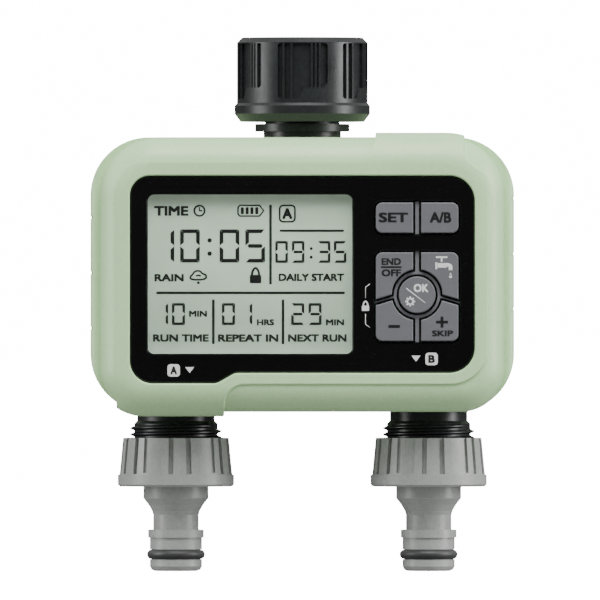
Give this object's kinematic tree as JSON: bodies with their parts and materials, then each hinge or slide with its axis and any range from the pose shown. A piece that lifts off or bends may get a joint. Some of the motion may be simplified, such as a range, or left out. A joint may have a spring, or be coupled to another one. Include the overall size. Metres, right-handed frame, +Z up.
{
  "type": "drip irrigation timer",
  "caption": "Battery tap timer with swivel inlet nut, display, silicone keys and hose nipples, with solenoid valves inside.",
  "frame": {"origin": "on the inlet axis at the mouth of the swivel nut; the timer hangs below it", "axes": "+Z up along the inlet axis, +X to the reader's right, the display faces -Y"},
  "size_m": [0.1224, 0.0655, 0.1545],
  "materials": {
    "case_green": "fine-grained moulded ABS, pale sage green",
    "dark_plastic": "moulded ABS",
    "gloss_black": "polished acrylic, printed black behind",
    "clear_window": "clear acrylic",
    "lcd": "reflective twisted nematic display",
    "key_grey": "moulded silicone rubber",
    "silicone_grey": "conductive and insulating silicone layers",
    "board_green": "glass epoxy with solder mask",
    "chip_black": "epoxy moulded packages",
    "nut_black": "moulded polypropylene",
    "white_plastic": "moulded acetal",
    "black_rubber": "moulded nitrile rubber",
    "plated_steel": "zinc-plated steel",
    "plunger_steel": "magnetic stainless steel",
    "tinned_wire": "tinned copper",
    "coil_tape": "taped winding on a nylon bobbin",
    "cell_wrap": "shrink sleeve",
    "lead_red": "PVC insulated wire",
    "adaptor_grey": "moulded ABS"
  },
  "bodies": {
    "case": {"front_cover": "case_green", "rear_shell": "case_green", "inner_cover": "dark_plastic", "case_seal": "black_rubber", "case_screws": "plated_steel", "display_panel": "gloss_black", "lcd_window": "clear_window", "lcd_glass": "lcd", "lcd_frame": "white_plastic", "lcd_contact_strips": "silicone_grey", "keypad_web": "key_grey", "circuit_board": "board_green", "board_components": "chip_black", "board_screws": "plated_steel", "valve_manifold": "nut_black", "retaining_ring": "white_plastic", "neck_seals": "black_rubber", "manifold_screws": "plated_steel", "inlet_filter": "white_plastic", "inlet_washer": "black_rubber", "bonnet_screws": "plated_steel", "battery_cells": "cell_wrap", "battery_contacts": "plated_steel", "battery_springs": "plated_steel", "battery_leads": "lead_red", "coil_leads": "tinned_wire", "door_seal": "black_rubber", "valve_bonnet_a": "white_plastic", "valve_bonnet_b": "white_plastic", "solenoid_coil_a": "coil_tape", "solenoid_coil_b": "coil_tape", "solenoid_yoke_a": "plated_steel", "solenoid_yoke_b": "plated_steel", "diaphragm_a": "black_rubber", "diaphragm_b": "black_rubber", "valve_spring_a": "plated_steel", "valve_spring_b": "plated_steel"},
    "nut": {"inlet_nut": "nut_black"},
    "key_zone_a_press": {"key_zone_a": "key_grey"},
    "key_zone_b_press": {"key_zone_b": "key_grey"},
    "key_off_press": {"key_off": "key_grey"},
    "key_manual_water_press": {"key_manual_water": "key_grey"},
    "key_ok_press": {"key_ok": "key_grey"},
    "key_minus_press": {"key_minus": "key_grey"},
    "key_plus_press": {"key_plus": "key_grey"},
    "door": {"battery_door": "case_green"},
    "door_lock": {"door_screw": "plated_steel"},
    "adaptor_a": {"outlet_adaptor_a": "adaptor_grey", "adaptor_washer_a": "black_rubber", "nipple_ring_a": "black_rubber"},
    "valve_a": {"plunger_a": "plunger_steel", "valve_disc_a": "white_plastic"},
    "adaptor_b": {"outlet_adaptor_b": "adaptor_grey", "adaptor_washer_b": "black_rubber", "nipple_ring_b": "black_rubber"},
    "valve_b": {"plunger_b": "plunger_steel", "valve_disc_b": "white_plastic"}
  },
  "joints": [
    {"name": "nut_swivel", "type": "hinge", "parent": "case", "child": "nut", "pos_m": [0, 0, -0.012], "axis": [0, 0, 1], "continuous": true},
    {"name": "key_zone_a_travel", "type": "slide", "parent": "case", "child": "key_zone_a_press", "axis": [0, 1, 0], "range_m": [0, 0.0008], "stiffness_N_per_m": 150, "springref_m": -0.001},
    {"name": "key_zone_b_travel", "type": "slide", "parent": "case", "child": "key_zone_b_press", "axis": [0, 1, 0], "range_m": [0, 0.0008], "stiffness_N_per_m": 150, "springref_m": -0.001},
    {"name": "key_off_travel", "type": "slide", "parent": "case", "child": "key_off_press", "axis": [0, 1, 0], "range_m": [0, 0.0008], "stiffness_N_per_m": 150, "springref_m": -0.001},
    {"name": "key_manual_water_travel", "type": "slide", "parent": "case", "child": "key_manual_water_press", "axis": [0, 1, 0], "range_m": [0, 0.0008], "stiffness_N_per_m": 150, "springref_m": -0.001},
    {"name": "key_ok_travel", "type": "slide", "parent": "case", "child": "key_ok_press", "axis": [0, 1, 0], "range_m": [0, 0.0008], "stiffness_N_per_m": 150, "springref_m": -0.001},
    {"name": "key_minus_travel", "type": "slide", "parent": "case", "child": "key_minus_press", "axis": [0, 1, 0], "range_m": [0, 0.0008], "stiffness_N_per_m": 150, "springref_m": -0.001},
    {"name": "key_plus_travel", "type": "slide", "parent": "case", "child": "key_plus_press", "axis": [0, 1, 0], "range_m": [0, 0.0008], "stiffness_N_per_m": 150, "springref_m": -0.001},
    {"name": "battery_door_hinge", "type": "hinge", "parent": "case", "child": "door", "pos_m": [0, 0.03205, -0.07785], "axis": [-1, 0, 0], "range_deg": [0, 100]},
    {"name": "door_screw_turn", "type": "hinge", "parent": "door", "child": "door_lock", "pos_m": [0, 0.03205, -0.0381], "axis": [0, 1, 0], "continuous": true},
    {"name": "adaptor_a_turn", "type": "hinge", "parent": "case", "child": "adaptor_a", "pos_m": [-0.0366, 0, -0.126], "axis": [0, 0, -1], "continuous": true},
    {"name": "valve_a_lift", "type": "slide", "parent": "case", "child": "valve_a", "axis": [0, 0, 1], "range_m": [0, 0.0015], "stiffness_N_per_m": 120, "springref_m": -0.004, "deforming": ["diaphragm_a", "valve_spring_a"]},
    {"name": "adaptor_b_turn", "type": "hinge", "parent": "case", "child": "adaptor_b", "pos_m": [0.0366, 0, -0.126], "axis": [0, 0, -1], "continuous": true},
    {"name": "valve_b_lift", "type": "slide", "parent": "case", "child": "valve_b", "axis": [0, 0, 1], "range_m": [0, 0.0015], "stiffness_N_per_m": 120, "springref_m": -0.004, "deforming": ["diaphragm_b", "valve_spring_b"]}
  ]
}
